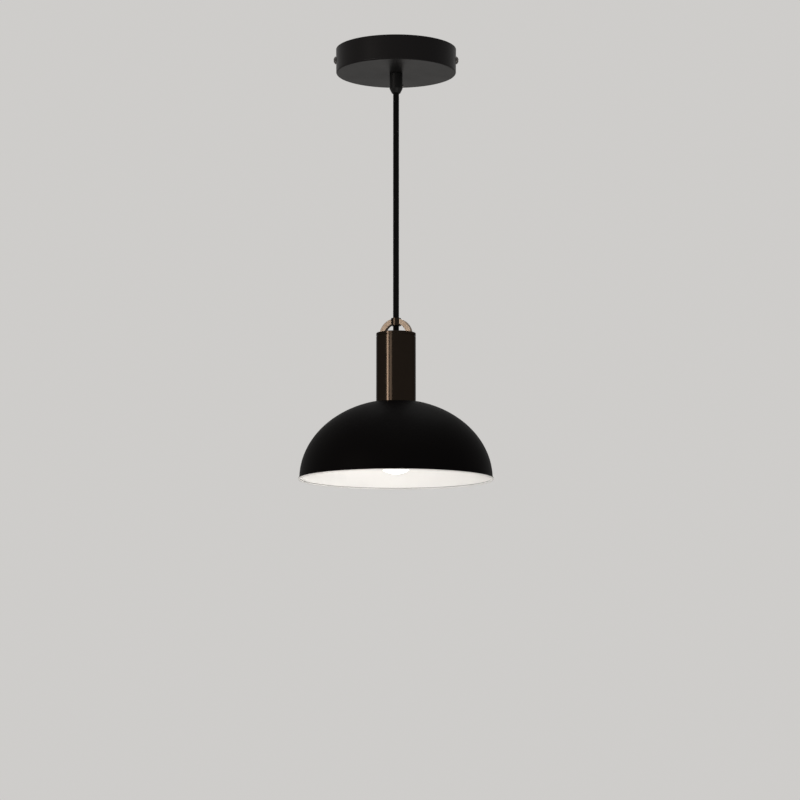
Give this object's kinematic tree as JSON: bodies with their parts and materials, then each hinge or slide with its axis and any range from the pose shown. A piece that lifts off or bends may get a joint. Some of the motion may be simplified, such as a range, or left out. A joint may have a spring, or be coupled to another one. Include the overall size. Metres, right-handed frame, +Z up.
{
  "type": "pendant ceiling light",
  "caption": "Pendant ceiling light: black dome shade with a white inside and an opal globe bulb under a capped tube, hung on a black cord from a round ceiling canopy.",
  "frame": {"origin": "centre of the ceiling plane, on the pendant's axis", "axes": "+Z up into the ceiling, +X to the right seen from the front, -Y to the front"},
  "size_m": [0.1956, 0.1956, 0.4411],
  "materials": {
    "canopy_paint": "satin black",
    "shade_paint": "satin black outside, white inside",
    "tube_metal": "black nickel, semi-gloss",
    "yoke_metal": "brushed",
    "black_plastic": "fine grain",
    "holder_plastic": "moulded",
    "terminal_plastic": "moulded",
    "zinc_steel": "zinc plated",
    "contact_brass": "bright",
    "cord_textile": "braided",
    "wire_brown": "smooth",
    "wire_blue": "smooth",
    "wire_green": "green and yellow",
    "bulb_glass": "opal",
    "bulb_plastic": "moulded",
    "bulb_metal": "rolled",
    "bulb_insulation": "glassy"
  },
  "bodies": {
    "ceiling": {"ceiling_bracket": "zinc_steel", "canopy": "canopy_paint", "cord_grip": "black_plastic", "grip_screw": "zinc_steel", "grip_washer": "zinc_steel", "grip_nut": "zinc_steel", "terminal_block": "terminal_plastic", "terminal_tubes": "contact_brass", "terminal_screws": "zinc_steel", "block_screw": "zinc_steel", "earth_screw": "zinc_steel", "earth_washer": "contact_brass", "cord_tail_top": "cord_textile", "wire_live_top": "wire_brown", "wire_neutral_top": "wire_blue", "wire_earth_top": "wire_green"},
    "side_screw_left": {"canopy_screw_left": "tube_metal"},
    "side_screw_right": {"canopy_screw_right": "tube_metal"},
    "hanging_cord": {"cord": "cord_textile"},
    "lamp": {"yoke": "yoke_metal", "yoke_screw": "zinc_steel", "foot_screws": "zinc_steel", "tube_cap": "tube_metal", "cap_gland": "black_plastic", "threaded_tube": "zinc_steel", "cap_nut": "zinc_steel", "holder_tube": "tube_metal", "holder_cover": "holder_plastic", "cover_nut": "zinc_steel", "earth_tag": "contact_brass", "contact_carrier": "terminal_plastic", "holder_skirt": "holder_plastic", "screw_shell": "contact_brass", "centre_contact": "contact_brass", "holder_terminals": "contact_brass", "holder_terminal_screws": "zinc_steel", "cord_tail_lamp": "cord_textile", "wire_live_lamp": "wire_brown", "wire_neutral_lamp": "wire_blue", "wire_earth_lamp": "wire_green", "shade": "shade_paint"},
    "ring": {"shade_ring": "holder_plastic"},
    "bulb": {"bulb_globe": "bulb_glass", "bulb_collar": "bulb_plastic", "bulb_cap": "bulb_metal", "bulb_insulator": "bulb_insulation", "bulb_tip": "bulb_metal"}
  },
  "joints": [
    {"name": "cord_swing", "type": "hinge", "parent": "ceiling", "child": "hanging_cord", "pos_m": [0, 0, -0.0439], "axis": [0, 1, 0], "range_deg": [-20, 20]},
    {"name": "lamp_tilt", "type": "hinge", "parent": "hanging_cord", "child": "lamp", "pos_m": [0, 0, -0.278], "axis": [1, 0, 0], "range_deg": [-12, 12]},
    {"name": "bulb_turn", "type": "hinge", "parent": "lamp", "child": "bulb", "pos_m": [0, 0, -0.37], "axis": [0, 0, 1], "continuous": true},
    {"name": "ring_turn", "type": "hinge", "parent": "lamp", "child": "ring", "pos_m": [0, 0, -0.37], "axis": [0, 0, 1], "continuous": true},
    {"name": "left_screw_turn", "type": "hinge", "parent": "ceiling", "child": "side_screw_left", "pos_m": [-0.0612, 0, -0.011], "axis": [1, 0, 0], "continuous": true},
    {"name": "right_screw_turn", "type": "hinge", "parent": "ceiling", "child": "side_screw_right", "pos_m": [0.0612, 0, -0.011], "axis": [1, 0, 0], "continuous": true}
  ]
}
